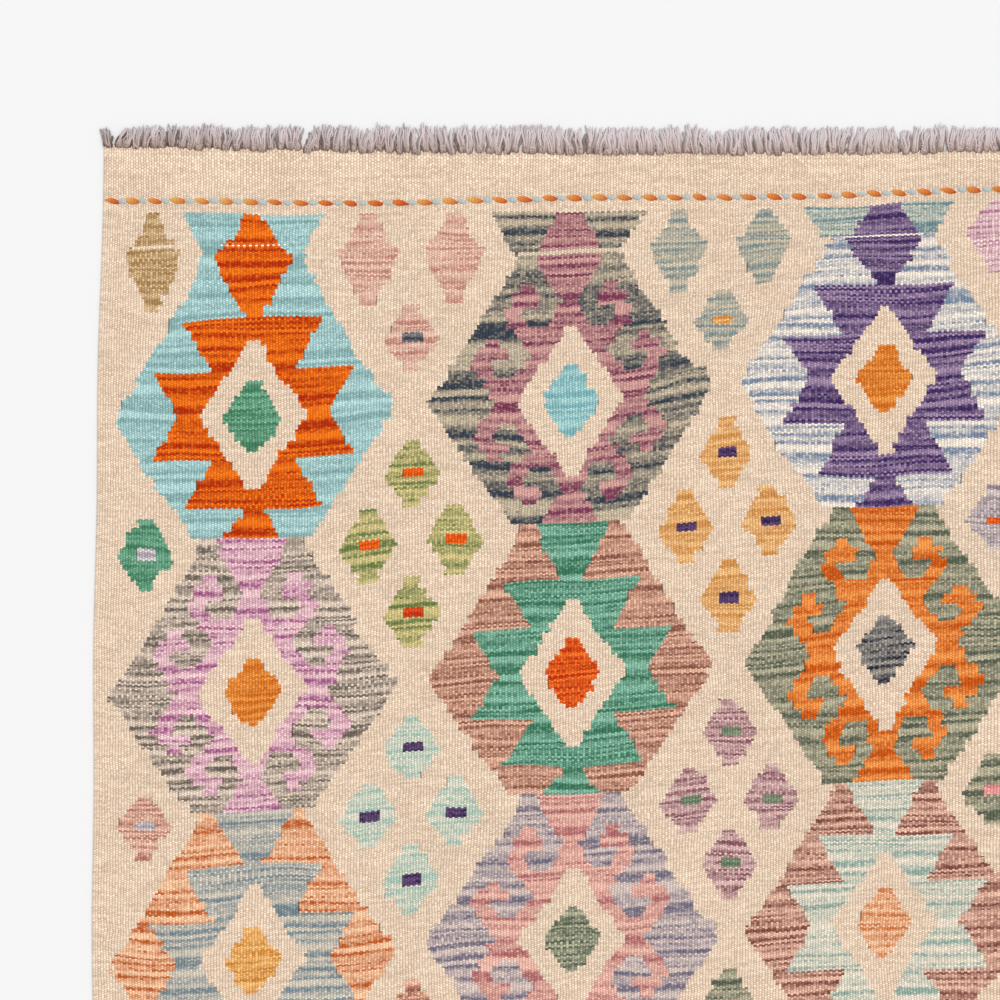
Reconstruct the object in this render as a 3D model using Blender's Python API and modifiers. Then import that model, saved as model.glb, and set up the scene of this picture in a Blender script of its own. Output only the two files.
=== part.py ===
"""Flat-woven kilim rug, lying flat, with a knotted fringe at both ends.

Metres, +Z up.  The rug rests on z = 0 and its length runs along Y.  The
origin lies under the middle of the whole rug, fringes included.  The end at
+Y is called the head and the end at -Y the foot.
"""

import math
import random

import bmesh
import bpy

# Cloth: the long edges bulge, and each end line climbs towards the corners
HALF_WIDTH = 0.523              # centre line to a long edge, at its widest
HALF_LENGTH = 0.7085            # centre to an end line, where it is lowest
CLOTH_THICKNESS = 0.0032
SELVEDGE_THICKNESS = 0.0022     # the long edges are rounded off
END_THICKNESS = 0.0026
EDGE_ROUNDING = 0.005           # width of that rounding
SIDE_DRAW_IN = 0.0085           # how much narrower the cloth is half a length away
WIDEST_AT = {"left": -0.14, "right": 0.10}
SIDE_WAVE = {"left": 0.31, "right": 0.27}
SIDE_WAVE_DEPTH = 0.0008
END_CLIMB = {"head": 0.0087, "foot": 0.0064}
END_LOWEST_AT = {"head": 0.11, "foot": -0.06}
END_CLIMB_REACH = 0.62

# Twined line: a low cord-like ridge across each end of the patterned field
LINE_FROM_CENTRE = {"head": 0.6560, "foot": 0.6585}
LINE_CLIMB = {"head": 0.0126, "foot": -0.0075}
LINE_CLIMB_FROM = -0.30
LINE_CLIMB_REACH = 0.76
RIDGE_HEIGHT = 0.0008
RIDGE_HALF_WIDTH = 0.0035

# Fringe: a row of knots, just off the cloth, and one lock from each knot
LOCKS = 148                     # at each end
GAP = 0.00035                   # the facets of the cloth's end take a little of it
KNOT_ROW_WIDTH = 0.0050
KNOT_HEIGHT = 0.0036
KNOT_WIDTH = 0.0046
ROW_EDGE_HEIGHT = 0.0020
LOCK_LENGTH = 0.0200
LOCK_LENGTH_SPREAD = 0.0022
LOCK_LEAN_SPREAD = 0.0010
LOCK_SECTIONS = (               # share of the length, width, height
    (0.45, 0.0038, 0.0024),
    (1.00, 0.0022, 0.0014),
)
CORNER_FLARE = 0.0035           # how far the corner locks splay outwards
CORNER_FLARE_REACH = 0.09

# Grid of the cloth
COLUMNS = 24
FIELD_ROWS = 40

COLLECTION = "Kilim rug"


def long_edge(y, side):
    """Distance of a long edge from the centre line."""
    away = y - WIDEST_AT[side]
    draw_in = SIDE_DRAW_IN * (away / HALF_LENGTH) ** 2
    wave = SIDE_WAVE_DEPTH * (1 - math.cos(2 * math.pi * away / SIDE_WAVE[side]))
    return HALF_WIDTH - draw_in - wave


def end_line(x, end):
    """Distance of the cloth's end from the centre."""
    away = x - END_LOWEST_AT[end]
    return HALF_LENGTH + END_CLIMB[end] * (away / END_CLIMB_REACH) ** 2


def twined_line(x, end):
    """Distance of the twined line from the centre."""
    climb = max(0.0, (x - LINE_CLIMB_FROM) / LINE_CLIMB_REACH) ** 1.5
    return LINE_FROM_CENTRE[end] + LINE_CLIMB[end] * climb


def end_sign(end):
    return 1 if end == "head" else -1


def end_rows(end):
    """Rows of the cloth from an end line to the field: place at x, height."""
    def at_line(offset):
        return lambda x: end_sign(end) * (twined_line(x, end) + offset)

    def at_end(offset):
        return lambda x: end_sign(end) * (end_line(x, end) - offset)

    return [
        (at_end(0), END_THICKNESS),
        (at_end(EDGE_ROUNDING), CLOTH_THICKNESS),
        (at_line(RIDGE_HALF_WIDTH), CLOTH_THICKNESS),
        (at_line(0), CLOTH_THICKNESS + RIDGE_HEIGHT),
        (at_line(-RIDGE_HALF_WIDTH), CLOTH_THICKNESS),
    ]


def cloth_rows():
    """All rows of the cloth, from the foot to the head."""
    foot = end_rows("foot")
    head = end_rows("head")
    low = foot[-1][0]
    high = head[-1][0]

    def between(share):
        return lambda x: low(x) + share * (high(x) - low(x))

    field = [(between(row / FIELD_ROWS), CLOTH_THICKNESS) for row in range(1, FIELD_ROWS)]
    return foot + field + head[::-1]


def cloth_columns():
    """Shares of the half width, from the left edge to the right edge."""
    rounding = EDGE_ROUNDING / HALF_WIDTH
    inner = [(2 * column / COLUMNS - 1) * (1 - rounding) for column in range(COLUMNS + 1)]
    return [-1.0] + inner + [1.0]


def new_material(name, colour, roughness):
    material = bpy.data.materials.new(name)
    material.use_nodes = True
    shader = material.node_tree.nodes["Principled BSDF"]
    shader.inputs["Base Color"].default_value = (*colour, 1.0)
    shader.inputs["Roughness"].default_value = roughness
    shader.inputs["Metallic"].default_value = 0.0
    material.diffuse_color = (*colour, 1.0)
    return material


class FlatSheet:
    """A flat sheet at z = 0 whose vertices each carry a height above it."""

    def __init__(self, columns, rows, full_height):
        self.bm = bmesh.new()
        self.weights = self.bm.verts.layers.deform.verify()
        self.full_height = full_height
        self.columns = columns
        self.rows = rows
        bmesh.ops.create_grid(self.bm, x_segments=columns, y_segments=rows, size=1)

    def grid_vertices(self):
        """Each vertex of the grid, which spans -1 to 1, with column and row."""
        for vertex in list(self.bm.verts):
            column = round((vertex.co.x + 1) / 2 * self.columns)
            row = round((vertex.co.y + 1) / 2 * self.rows)
            yield vertex, column, row

    def place(self, vertex, x, y, height):
        vertex.co = (x, y, 0)
        vertex[self.weights][0] = height / self.full_height


def thickened(name, sheet, material, collection):
    """Make an object from a flat sheet, thickened upwards to its heights."""
    bm = sheet.bm
    bmesh.ops.recalc_face_normals(bm, faces=bm.faces)
    if sum(face.normal.z for face in bm.faces) < 0:
        bmesh.ops.reverse_faces(bm, faces=bm.faces)
    mesh = bpy.data.meshes.new(name)
    bm.to_mesh(mesh)
    bm.free()
    mesh.materials.append(material)
    piece = bpy.data.objects.new(name, mesh)
    collection.objects.link(piece)
    piece.vertex_groups.new(name="height")
    solidify = piece.modifiers.new("Height", "SOLIDIFY")
    solidify.thickness = sheet.full_height
    solidify.offset = 1.0
    solidify.vertex_group = "height"
    solidify.thickness_vertex_group = 0.0
    solidify.use_even_offset = False
    return piece


def make_cloth(collection):
    """The woven cloth, one flat solid with a low ridge near each end."""
    columns = cloth_columns()
    rows = cloth_rows()
    sheet = FlatSheet(len(columns) - 1, len(rows) - 1, CLOTH_THICKNESS + RIDGE_HEIGHT)
    for vertex, column, row in sheet.grid_vertices():
        share = columns[column]
        place, height = rows[row]
        side = "left" if share < 0 else "right"
        x = share * long_edge(place(share * HALF_WIDTH), side)
        if abs(share) == 1:
            height = min(height, SELVEDGE_THICKNESS)
        sheet.place(vertex, x, place(x), height)
    material = new_material("Woven wool", (0.76, 0.62, 0.42), 0.9)
    return thickened("kilim_cloth", sheet, material, collection)


def lock_centre(index, end):
    """Where a lock leaves the knot row, across the rug."""
    y = end_sign(end) * HALF_LENGTH
    left = -long_edge(y, "left")
    right = long_edge(y, "right")
    return left + (index + 0.5) / LOCKS * (right - left)


def corner_flare(x):
    """How far the locks near a corner splay outwards."""
    inside = HALF_WIDTH - abs(x)
    nearness = max(0.0, 1 - inside / CORNER_FLARE_REACH)
    return math.copysign(CORNER_FLARE * nearness ** 2, x)


def grow_lock(sheet, edge, centre, start, end, chance):
    """Extrude one lock from its edge of the knot row."""
    length = LOCK_LENGTH + chance.uniform(-LOCK_LENGTH_SPREAD, LOCK_LENGTH_SPREAD)
    lean = corner_flare(centre) + chance.uniform(-LOCK_LEAN_SPREAD, LOCK_LEAN_SPREAD)
    for share, width, height in LOCK_SECTIONS:
        made = bmesh.ops.extrude_edge_only(sheet.bm, edges=[edge])["geom"]
        edge = next(item for item in made if isinstance(item, bmesh.types.BMEdge)
                    and all(vertex in made for vertex in item.verts))
        pair = sorted(edge.verts, key=lambda vertex: vertex.co.x)
        for side, vertex in zip((-0.5, 0.5), pair):
            x = centre + lean * share ** 2 + side * width
            y = end_sign(end) * (start + length * share)
            sheet.place(vertex, x, y, height)


def make_fringe(name, end, seed, collection):
    """A knot row along one end of the cloth, with its locks."""
    chance = random.Random(seed)
    sheet = FlatSheet(2 * LOCKS - 1, 1, KNOT_HEIGHT)
    corners = {}
    for vertex, column, row in sheet.grid_vertices():
        x = lock_centre(column // 2, end) + (column % 2 - 0.5) * KNOT_WIDTH
        y = end_line(x, end) + GAP + row * KNOT_ROW_WIDTH
        sheet.place(vertex, x, end_sign(end) * y, ROW_EDGE_HEIGHT)
        corners[column, row] = vertex
    for index in range(LOCKS):
        outer_pair = [corners[2 * index, 1], corners[2 * index + 1, 1]]
        root = sheet.bm.edges.get(outer_pair)
        knot = root.link_faces[0]
        centre = lock_centre(index, end)
        start = end_line(centre, end) + GAP + KNOT_ROW_WIDTH
        grow_lock(sheet, root, centre, start, end, chance)
        crest = bmesh.ops.poke(sheet.bm, faces=[knot])["verts"][0]
        sheet.place(crest, crest.co.x, crest.co.y, KNOT_HEIGHT)
    material = new_material("Warp yarn " + end, (0.38, 0.30, 0.26), 0.92)
    return thickened(name, sheet, material, collection)


def centre_over_origin(pieces):
    """Slide all pieces so that the rug's box is centred on the origin."""
    points = [vertex.co for piece in pieces for vertex in piece.data.vertices]
    middle_x = (min(point.x for point in points) + max(point.x for point in points)) / 2
    middle_y = (min(point.y for point in points) + max(point.y for point in points)) / 2
    for piece in pieces:
        for vertex in piece.data.vertices:
            vertex.co.x -= middle_x
            vertex.co.y -= middle_y


def main():
    for old in list(bpy.data.objects):
        bpy.data.objects.remove(old, do_unlink=True)
    collection = bpy.data.collections.new(COLLECTION)
    bpy.context.scene.collection.children.link(collection)
    centre_over_origin([
        make_cloth(collection),
        make_fringe("fringe_head", "head", 11, collection),
        make_fringe("fringe_foot", "foot", 23, collection),
    ])


main()
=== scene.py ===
"""Looks of the flat-woven kilim rug, dressed around its CAD solids.

Metres, +Z up, in the frame of the CAD.  The rug lies flat with its head end
at +Y.  The weave is charted in warps across and in rows of ten weft picks
down the rug, from the head (row 0) to the foot.
"""

import math
import random

import bpy
import numpy as np
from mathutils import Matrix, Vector

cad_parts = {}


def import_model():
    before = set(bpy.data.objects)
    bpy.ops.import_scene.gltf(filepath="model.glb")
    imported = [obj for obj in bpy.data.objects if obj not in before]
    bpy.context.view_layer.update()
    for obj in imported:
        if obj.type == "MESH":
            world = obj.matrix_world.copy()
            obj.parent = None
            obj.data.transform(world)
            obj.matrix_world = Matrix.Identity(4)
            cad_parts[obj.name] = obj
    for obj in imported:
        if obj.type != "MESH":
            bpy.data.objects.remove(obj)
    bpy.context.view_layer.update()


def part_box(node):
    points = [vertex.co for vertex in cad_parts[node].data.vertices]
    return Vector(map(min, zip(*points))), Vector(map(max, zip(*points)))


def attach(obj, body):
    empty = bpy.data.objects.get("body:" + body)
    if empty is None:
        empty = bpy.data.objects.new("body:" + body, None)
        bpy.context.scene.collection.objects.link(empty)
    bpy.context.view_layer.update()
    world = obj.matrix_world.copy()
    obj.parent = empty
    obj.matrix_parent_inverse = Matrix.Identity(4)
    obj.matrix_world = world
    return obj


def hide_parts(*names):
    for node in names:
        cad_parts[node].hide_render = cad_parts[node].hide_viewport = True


# The photograph's framing: one picture unit is PIXEL metres on the rug
PIXEL = 1.09e-3
PHOTO_WIDTH = 1000
RUG_CENTRE_PX = (572, 804)          # where the rug's centre lies in the photograph
LENS = 85.0                         # millimetres
SENSOR = 36.0

# Outline of the cloth, as in the CAD
HALF_WIDTH = 0.523
HALF_LENGTH = 0.7085
SIDE_DRAW_IN = 0.0085
WIDEST_AT = {"left": -0.14, "right": 0.10}
SIDE_WAVE = {"left": 0.31, "right": 0.27}
SIDE_WAVE_DEPTH = 0.0008
END_CLIMB = {"head": 0.0087, "foot": 0.0064}
END_LOWEST_AT = {"head": 0.11, "foot": -0.06}
END_CLIMB_REACH = 0.62
LINE_FROM_CENTRE = {"head": 0.6560, "foot": 0.6585}
LINE_CLIMB = {"head": 0.0126, "foot": -0.0075}
LINE_CLIMB_FROM = -0.30
LINE_CLIMB_REACH = 0.76
SIGN = {"head": 1, "foot": -1}

# Cloth thickness
TOP = 0.0032
UNDERSIDE = 0.0003
SELVEDGE_TOP = 0.0023
SELVEDGE_UNDERSIDE = 0.0010
SLIT_DEPTH = 0.0003
SLIT_STRENGTHS = (0.3, 1.0)         # of the slits that show
UNDULATION = 0.00025
UNDULATION_REACH = (30, 7)          # in warps and in rows

# Weave grid
WARPS = 330
PICKS = 10                          # weft picks in one row of the pattern
HALF_PICKS = 5                      # the edges of a shape step once in each half row
SKIRT_ROWS = 5                      # plain rows between an end line and its twined line
SKIRT_PICKS = (6, 7, 7, 8, 9)       # looser picks in each of them, from the end inwards
RAGGED_EDGE = 0.0026                # how far single picks stand out of an end line
EDGE_WANDER = (0.0018, 0.0010)      # how far the line itself stands out, and how far it strays
EDGE_WANDER_WARPS = 6
HEAD_MARGIN_ROWS = 1
FOOT_MARGIN_ROWS = 2
CAP_ROWS = 4                        # rows above the first medallions
PERIOD = 28                         # rows from one medallion to the next
MEDALLION_ROWS = 4
FOOT_CAP_ROWS = 5
PATTERN_START = SKIRT_ROWS + HEAD_MARGIN_ROWS
FIRST_ROW = PATTERN_START + CAP_ROWS
PATTERN_END = FIRST_ROW + MEDALLION_ROWS * PERIOD + FOOT_CAP_ROWS
ROWS = PATTERN_END + FOOT_MARGIN_ROWS + SKIRT_ROWS
COLUMN_WARPS = (55, 165, 275)       # centre lines of the medallions
# Warps that were measured across the rug, and where they lie
WARP_PLACES = ((0, -0.523), (55, -0.3488), (165, -0.0005), (275, 0.3401), (300, 0.4180), (330, 0.523))

# How the rows lie: pattern row, then y on the three centre lines
LAY = (
    (-4, 0.6442, 0.6442, 0.6540),
    (0, 0.5984, 0.6050, 0.6202),
    (15.5, 0.4246, 0.4404, 0.4654),
    (28, 0.2878, 0.3096, 0.3205),
    (43.5, 0.1225, 0.1445, 0.1707),
    (56, -0.0065, 0.0098, 0.0240),
    (71.5, -0.1722, -0.1450, -0.1275),
    (84, -0.3052, -0.2860, -0.2760),
    (99.5, -0.4690, -0.4510, -0.4400),
    (112, -0.5980, -0.5830, -0.5730),
    (117, -0.6440, -0.6320, -0.6240),
)
# Where the rows pucker: warp, pattern row, reach in warps, in rows, lift
PUCKERS = (
    (35, 11, 50, 6, -0.0045),
    (20, 6, 16, 3, -0.0040),
    (14, 19, 14, 5, -0.0030),
    (14, 26, 14, 4, 0.0030),
    (14, 38, 14, 5, -0.0065),
    (18, 50, 42, 9, -0.0085),
    (16, 58.5, 24, 3.5, 0.0065),
    (88, 49, 14, 4, -0.0055),
    (25, 68, 22, 9, -0.0070),
    (60, 59, 22, 8, 0.0040),
    (62, 66, 20, 5, 0.0040),
    (90, 35, 14, 5, -0.0045),
    (100, 56, 16, 4, 0.0045),
    (112, 22, 24, 8, 0.0060),
    (118, 61, 25, 13, 0.0030),
    (88, 69, 14, 8, -0.0030),
    (162, 22, 24, 6, -0.0055),
    (185, 69, 14, 5, -0.0045),
    (190, 40, 20, 8, -0.0020),
    (232, 16, 32, 12, 0.0085),
    (220, 28, 30, 7, 0.0050),
    (228, 41, 24, 7, -0.0070),
    (213, 55, 16, 8, 0.0050),
    (212, 65, 16, 4, 0.0045),
    (215, 72, 28, 6, -0.0050),
    (209, 15, 12, 5, 0.0045),
    (126, 73, 14, 5, 0.0040),
    (236, 53, 12, 4, 0.0045),
    (294, 25, 16, 4, 0.0045),
    (254, 5, 16, 4, 0.0050),
    (258, 53.5, 30, 5, -0.0055),
    (276, 45.5, 14, 4, 0.0030),
    (290, 58.5, 40, 3.5, 0.0035),
    (270, 31, 30, 7, 0.0045),
    (272, 5, 16, 3, 0.0040),
    (288, 3, 36, 5, 0.0035),
    (292, 13, 25, 4, -0.0035),
)
# Where the warps sway aside: warp, pattern row, reach in warps, in rows, shift
SWAYS = (
    (18, 40, 22, 90, -0.0022),
    (125, 67, 16, 7, -0.0045),
    (162, 8, 45, 14, -0.0028),
    (235, 22, 14, 6, -0.0045),
    (256, 5, 16, 6, -0.0040),
    (238, 13, 14, 5, -0.0050),
    (208, 57, 18, 12, 0.0048),
    (284, 75, 16, 4, -0.0040),
)
ROW_WANDER = 0.0024                 # how far a row line strays from that lay
ROW_WANDER_WARPS = 20
ROW_MEMORY = 0.5                    # share of it that follows the line before
WARP_WANDER = 0.0007
WARP_WANDER_WARPS = 7

# Wool yarns: dark shade, light shade (sRGB), length of one shade in warps, bias
YARNS = {
    "cream": ((211, 188, 165), (231, 210, 188), 22, 1.0),
    "white": ((214, 200, 184), (242, 232, 218), 60, 1.0),
    "beige": ((176, 160, 139), (214, 196, 172), 60, 1.0),
    "turquoise": ((132, 168, 168), (178, 210, 208), 150, 1.0),
    "turquoise centre": ((122, 172, 176), (166, 204, 202), 90, 1.0),
    "orange": ((176, 46, 8), (236, 120, 24), 150, 0.88),
    "orange centre": ((200, 104, 28), (226, 150, 68), 60, 1.0),
    "orange red": ((184, 46, 12), (236, 116, 38), 60, 1.0),
    "emerald": ((64, 124, 92), (118, 170, 142), 60, 1.0),
    "teal": ((58, 116, 88), (138, 186, 164), 110, 1.0),
    "olive": ((158, 122, 72), (210, 181, 142), 40, 1.0),
    "pink": ((188, 132, 116), (226, 194, 176), 60, 0.75),
    "mauve": ((122, 58, 86), (206, 160, 152), 100, 0.8),
    "slate beige": ((54, 64, 76), (195, 180, 156), 250, 1.1),
    "blue beige": ((124, 142, 144), (202, 188, 164), 70, 0.8),
    "purple": ((60, 38, 92), (162, 138, 166), 110, 1.15),
    "sky": ((120, 136, 158), (236, 224, 210), 130, 0.75),
    "sky teal": ((104, 136, 142), (206, 204, 188), 120, 0.9),
    "lilac": ((174, 116, 144), (230, 204, 200), 50, 0.65),
    "green": ((104, 124, 70), (208, 191, 135), 90, 0.85),
    "ochre": ((200, 140, 76), (230, 186, 130), 60, 1.0),
    "ochre centre": ((200, 130, 46), (240, 192, 126), 60, 1.0),
    "lavender": ((140, 128, 136), (212, 196, 192), 40, 0.9),
    "magenta": ((160, 88, 134), (232, 198, 200), 80, 0.65),
    "warm grey": ((108, 97, 88), (220, 202, 185), 60, 0.9),
    "brown rose": ((136, 86, 70), (224, 178, 154), 80, 0.9),
    "rose": ((172, 112, 96), (232, 194, 174), 45, 0.8),
    "orange soft": ((194, 84, 14), (234, 152, 78), 130, 1.0),
    "grey green": ((86, 94, 78), (184, 176, 150), 90, 1.0),
    "navy": ((40, 44, 58), (164, 156, 148), 50, 0.9),
    "mint": ((160, 188, 174), (215, 210, 193), 45, 0.8),
    "plum": ((134, 84, 96), (216, 184, 178), 55, 0.8),
    "salmon": ((172, 104, 106), (228, 184, 168), 110, 0.65),
    "lavender grey": ((114, 108, 126), (210, 192, 184), 110, 0.8),
    "dark green": ((82, 94, 78), (180, 178, 152), 45, 1.0),
    "blue grey": ((116, 134, 142), (206, 196, 180), 130, 0.8),
    "peach": ((186, 92, 36), (238, 197, 161), 110, 0.7),
    "pale mint": ((140, 166, 156), (226, 214, 196), 110, 0.6),
    "brown mauve": ((128, 74, 64), (226, 184, 163), 90, 0.9),
    "peach orange": ((200, 112, 56), (236, 196, 160), 60, 0.8),
    "brown pink": ((146, 86, 70), (234, 186, 160), 50, 0.9),
    "eye violet": ((50, 30, 72), (104, 78, 118), 30, 1.0),
    "eye orange": ((206, 68, 10), (238, 108, 30), 30, 1.0),
    "eye red": ((176, 44, 16), (218, 80, 30), 30, 1.0),
    "eye lavender": ((156, 148, 158), (214, 204, 204), 30, 1.0),
    "eye green": ((90, 116, 92), (142, 152, 124), 30, 1.0),
    "eye pink": ((206, 124, 126), (236, 166, 164), 30, 1.0),
    "eye slate": ((54, 60, 74), (140, 138, 138), 30, 1.0),
}

# The wool of the cloth
STREAK_RANGE = (0.37, 0.63)         # part of the noise that spans a yarn's shades
BEAD_ROUNDING = (0.38, 0.42, 0.40)  # how a bead falls to its sides, its ends and its corners
BEAD_FLECK = 0.55                   # how far single beads stray from the yarn's shade
BEAD_PAINTED_SHADE = (0.61, 0.492)          # painted shade: brightness in the valleys between beads, and how much the beads add
BEAD_TONE = (1.07, 0.26)            # least brightness of a bead, and its spread
PAINTED_VALLEY_DEEPENING = 0.55                 # painted shade: how far the colour darkens and deepens in the valleys between beads
BEAD_RELIEF = 0.0007
SLIT_RANGE = (0.45, 1.1)            # strength from which a slit's painted shade shows, and where it is darkest
# painted shade in the slits, where the cloth parts between two colours
SLIT_PAINTED_SHADE = 0.70
PATCH_SCALE = 9.0                   # lighter and darker patches of the cloth, and their spread
PATCH_TONE = 0.12
FIBRE_SCALE = 900.0
FIBRE_TONE = 0.30
FIBRE_RELIEF = 0.25                 # against the height of a bead
# Roughness and sheen of the cloth and of the loose yarns
CLOTH_FINISH = (0.92, 0.03)
YARN_FINISH = (0.9, 0.15)
WOOL_GLOSS = 0.08
SHEEN_ROUGHNESS = 0.5
# Twined and fringe yarns
YARN_TONE = 0.89
YARN_FIBRE_SCALE = 1400.0
YARN_FIBRE_TONE = (0.8, 0.4)        # least brightness of the fibres, and its spread
PLY_RELIEF = 0.0003

# Medallions: half widths in warps, one number for each row of a period
OUTLINE = (18, 19, 21, 23, 25, 27.5, 30, 32, 33.5, 35.5, 38, 40, 42.5, 45, 47.5, 49,
           47.5, 45, 43, 40.5, 38.5, 35.5, 34, 31, 29, 26, 24, 21.5)
CREAM_DIAMOND = (8, (3, 5, 7, 9, 12, 14, 17, 19, 17, 14, 12, 9, 7, 5, 3))
CENTRE_DIAMOND = (12, (3, 5, 8, 10, 8, 6, 3))
TOOTHED = (13, 11, 10, 8, 6, 4, 23, 21, 19, 17, 15, 34, 32, 30, 28, 26,
           28, 30, 32, 34, 15, 17, 19, 21, 23, 4, 6, 9)
# Hooked motif, from the centre line outwards: spans of warps in each half row
HOOKED_TOP = (
    ((0, 12),),
    ((0, 11),),
    ((0, 11),),
    ((0, 10),),
    ((0, 9),),
    ((0, 8),),
    ((0, 7),),
    ((0, 6), (12, 17)),
    ((0, 5), (12, 17)),
    ((0, 4), (10, 20)),
    ((0, 3), (10, 20)),
    ((0, 4), (10, 20)),
    ((0, 5), (16, 22)),
    ((0, 5), (16, 22)),
    ((0, 6), (15, 21)),
    ((0, 7), (14, 21)),
    ((0, 19),),
    ((0, 18),),
    ((0, 16), (24, 29)),
    ((0, 16), (24, 29)),
    ((3, 14), (21, 32)),
    ((3, 14), (21, 32)),
    ((3, 15), (27, 34)),
    ((3, 16), (27, 34)),
    ((3, 18), (26, 32)),
    ((3, 19), (25, 32)),
    ((3, 30),),
    ((3, 30),),
    ((3, 28),),
    ((3, 28),),
    ((3, 26),),
)
# The lower half of it turns these round and leaves six of them out
HOOKED_SKIPPED = (27, 17, 9, 2, 1, 0)
HOOKED = HOOKED_TOP + tuple(
    HOOKED_TOP[line] for line in range(30, -1, -1) if line not in HOOKED_SKIPPED)
CAP_OUTLINE = (24, 22, 20, 18)      # the cut-off medallions above the first row
CAP_MOTIFS = ((4, 6, 8, 11), (5, 6, 9, 10), (5, 7, 9, 11))
FOOT_CAP_OUTLINE = (19, 21, 23, 25, 27)
FOOT_CAP_MOTIF = (13, 12, 10, 8, 6)

# Medallions by row: kind, ground, motif, centre
MEDALLIONS = (
    (
        ("toothed", "turquoise", "orange", "emerald"),
        ("hooked", "slate beige", "mauve", "turquoise centre"),
        ("toothed", "sky", "purple", "orange centre"),
    ),
    (
        ("hooked", "warm grey", "magenta", "orange centre"),
        ("toothed", "brown rose", "teal", "orange red"),
        ("hooked", "grey green", "orange soft", "navy"),
    ),
    (
        ("toothed", "peach", "blue grey", "ochre centre"),
        ("hooked", "lavender grey", "salmon", "dark green"),
        ("toothed", "brown mauve", "pale mint", "peach orange"),
    ),
    (
        ("hooked", "grey green", "purple", "orange centre"),
        ("toothed", "slate beige", "orange soft", "turquoise centre"),
        ("hooked", "sky", "magenta", "emerald"),
    ),
)
HEAD_CAP = (("turquoise", "orange"), ("slate beige", "mauve"), ("sky teal", "purple"))
FOOT_CAP = (("peach", "teal"), ("warm grey", "mauve"), ("pale mint", "orange soft"))
# Where an outline strays: medallion row, column, its rows there, warps more on the left, on the right
STRAY_OUTLINES = (
    (-1, 1, 0, 4, 2.5, 1),
    (-1, 2, 0, 4, 4, 0),
    (0, 0, 12, 16, -2, 0),
    (0, 0, 8, 14, 0, -1),
    (0, 1, 8.5, 11, 0, -1),
    (0, 1, 11, 14, 0, -2.5),
    (0, 2, 4, 8, 0, -2),
    (0, 2, 8, 12, 0, -1),
    (0, 2, 18, 28, 1.5, 0),
    (1, 0, 4, 9, 0, 2),
    (1, 1, 19.5, 28, 1, 0),
    (1, 2, 2, 11, 1.5, 0),
    (2, 0, 12, 16, -1, 0),
    (2, 1, 14, 22, 0, 2),
    (2, 2, 8, 15, -1, 0),
)
# Break lines: row, middle and half width in warps, picks, yarn
BREAK_LINES = ((-1, 55, 12, 1, "white"), (0, 165, 18, 4, "beige"), (0, 275, 14, 2, "white"),
               (-1, 20, 8, 3, "cream"))

# Small diamonds: half widths by half row
LOZENGE = (3, 3, 5, 6, 7, 8, 9, 10, 9, 8, 6, 5, 3, 3)
TALL_LOZENGE = (3, 3, 4, 5, 6, 7, 8, 10, 10, 9, 9, 8, 7, 6, 5, 4, 3, 3)
CLUSTER_REACH = 15                  # warps from a cluster's middle to its side members
CLUSTER_ROWS = (-6, 8)              # rows from its boundary to its top and to its bottom member
EYE_HALF_WIDTH = 3.5
SLANT_REACH = 4                     # an edge that moves no further in a row is a slanting one
# Clusters: warp, boundary, yarn, eye of the top and side members, eye of the bottom one
CLUSTERS = (
    (110, 0, "pink", None, "eye slate"),
    (218, 0, "blue beige", None, "ochre centre"),
    (110, 1, "green", "eye orange", "eye red"),
    (220, 1, "ochre", "eye violet", "eye violet"),
    (110, 2, "mint", "eye violet", "eye violet"),
    (220, 2, "plum", "eye green", "eye green"),
    (110, 3, "brown pink", "eye green", "eye green"),
    (220, 3, "grey green", "eye pink", "eye pink"),
    (110, 4, "ochre", "eye red", None),
    (220, 4, "emerald", "eye lavender", None),
)
# Single diamonds by the edges: boundary, warp, yarn, eye
SINGLES = (
    (0, 20, "olive", None),
    (1, 18, "emerald", "eye lavender"),
    (2, 17.5, "rose", "eye lavender"),
    (3, 18, "mint", "eye violet"),
    (4, 18.5, "plum", "eye green"),
    (0, 313.5, "lilac", None),
    (1, 312.5, "lavender", "eye orange"),
    (2, 312, "grey green", "eye pink"),
    (3, 312.5, "ochre", "eye violet"),
    (4, 312, "rose", "eye slate"),
)

# Twined lines
TWINE_PITCH = 0.0272                # one orange and one grey stitch
TWINE_FIRST = 0.0109                # from the edge to the middle of the first stitch
TWINE_CROWDING = (0.0142, 1.7)      # the first pairs are crowded: shift, and over how many
TWINE_WAVE = (0.0014, 0.458, -0.338)        # height, length and start of its slow wave
# Shades of a stitch's two ends, and those that they drift to along the line; for the oranges the change is
# partly the yarn's own yellow to red, partly painted light on the upper-left end and painted shade on the
# lower-right end
TWINE_ORANGES = (((255, 204, 112), (214, 100, 34)), ((250, 142, 58), (192, 62, 20)))
TWINE_GREYS = (((188, 204, 206), (202, 210, 206)), ((216, 210, 196), (198, 202, 196)))
# How red the orange stitches are, by pair
TWINE_REDNESS = ((0, 0.8), (1, 0.15), (2, 0.5), (3, 0.0), (5, 0.1), (7, 0.6), (10, 1.0), (12, 0.95),
                 (13, 0.35), (15, 0.05), (17, 0.8), (20, 0.25), (25, 0.7), (28, 0.9), (30, 0.4), (33, 0.7))
GREY_DRIFT = 9                      # stitches over which the greys drift
STITCH_PROFILE = (0.34, 0.74, 0.94, 1.0, 0.94, 0.74, 0.34)
# Orange and grey stitches: length, width, slant; and how far they stray, as shares
STITCH_SIZES = ((0.0166, 0.0066, 0.0032), (0.0112, 0.0056, 0.0022))
STITCH_SIZE_STRAYS = (0.1, 0.1, 0.4)
STITCH_STRAY = (0.0010, 0.0004)     # along the line and across it
STITCH_TONE_STRAY = 0.15
STITCH_SIDES = 12
STITCH_FLATNESS = 0.5
STITCH_DIP = 0.2                    # of its ends, as a share of its width
# The two faces of the cloth: height of the stitches, and which way their ends dip into it
STITCH_FACES = ((TOP + 0.0001, -1), (0.0020, 1))

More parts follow.
